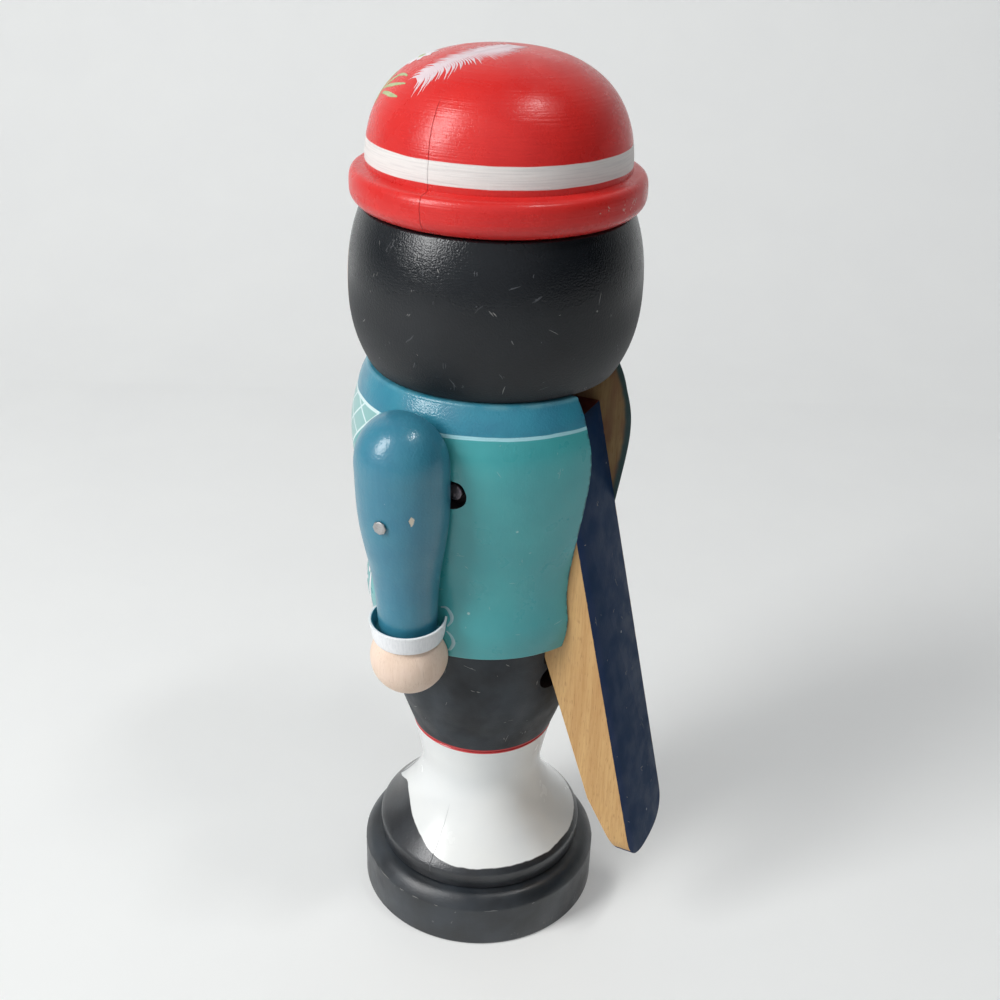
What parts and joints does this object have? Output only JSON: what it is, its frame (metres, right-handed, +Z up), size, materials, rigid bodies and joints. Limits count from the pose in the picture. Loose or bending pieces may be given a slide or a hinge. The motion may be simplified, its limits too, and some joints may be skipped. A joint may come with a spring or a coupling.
{
  "type": "wooden nutcracker",
  "caption": "Turned wooden nutcracker figure in cap, jacket and breeches on a round base, with a lever through its back that is jaw and handle in one.",
  "frame": {"origin": "centre of the base's underside, on the axis of the turned sections", "axes": "+Z up along the turning axis, the figure faces -Y, +X is to its left arm, the handle is at +Y"},
  "size_m": [0.1216, 0.1109, 0.2911],
  "materials": {
    "black_paint": "satin charcoal paint over turned wood, scuffed",
    "white_paint": "glossy white enamel over turned wood",
    "jacket_paint": "glossy teal paint over turned wood, darker yoke",
    "sleeve_paint": "glossy blue-green paint over turned wood",
    "red_paint": "glossy red paint over turned wood, white band",
    "blue_paint": "satin dark blue paint on the outer face, bare beech sides",
    "pale_wood": "bare pale turned wood",
    "steel": "dull steel"
  },
  "bodies": {
    "figure": {"base": "black_paint", "base_dowel": "pale_wood", "foot": "white_paint", "knee_dowel": "pale_wood", "breeches": "black_paint", "waist_dowel": "pale_wood", "torso": "jacket_paint", "neck_dowel_left": "pale_wood", "neck_dowel_right": "pale_wood", "head": "black_paint", "nose": "pale_wood", "hat_dowel": "pale_wood", "hat": "red_paint", "pivot_pin": "steel", "sleeve_left": "sleeve_paint", "cuff_left": "white_paint", "hand_left": "pale_wood", "wrist_dowel_left": "pale_wood", "arm_nail_left": "steel", "sleeve_right": "sleeve_paint", "cuff_right": "white_paint", "hand_right": "pale_wood", "wrist_dowel_right": "pale_wood", "arm_nail_right": "steel"},
    "lever": {"lever": "blue_paint"}
  },
  "joints": [
    {"name": "lever_hinge", "type": "hinge", "parent": "figure", "child": "lever", "pos_m": [0, 0.0076, 0.175], "axis": [1, 0, 0], "range_deg": [0, 25]}
  ]
}
